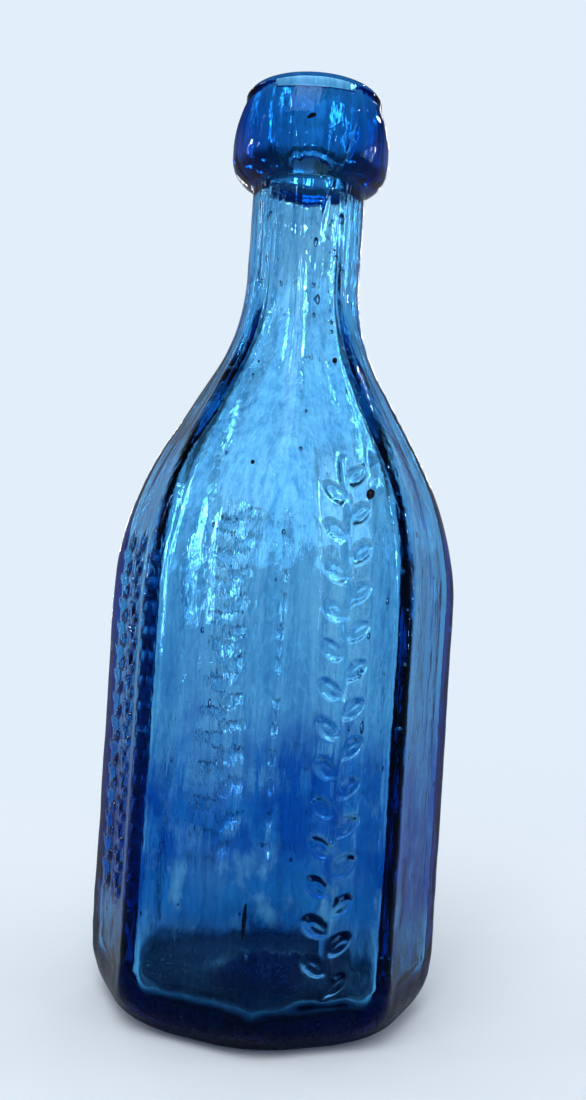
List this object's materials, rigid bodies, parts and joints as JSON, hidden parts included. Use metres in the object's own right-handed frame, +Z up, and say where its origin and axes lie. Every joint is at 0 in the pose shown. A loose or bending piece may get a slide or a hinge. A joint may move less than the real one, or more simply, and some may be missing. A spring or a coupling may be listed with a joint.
{
  "type": "mineral water bottle",
  "caption": "Octagonal blown glass bottle in clear deep blue, with a rounded shoulder, a short round neck and a thick rolled blob lip.",
  "frame": {"origin": "centre of the ring that the bottle stands on, in the plane of that ring", "axes": "+Z up the bottle's axis to the mouth; the flats face +X, -X, +Y, -Y and the four directions between"},
  "size_m": [0.0654, 0.0654, 0.1864],
  "materials": {
    "blue_glass": "clear cobalt blue glass, fire polished, with faint mould ripples, small seeds and a few dark specks"
  },
  "bodies": {
    "root": {"bottle": "blue_glass"}
  },
  "joints": []
}
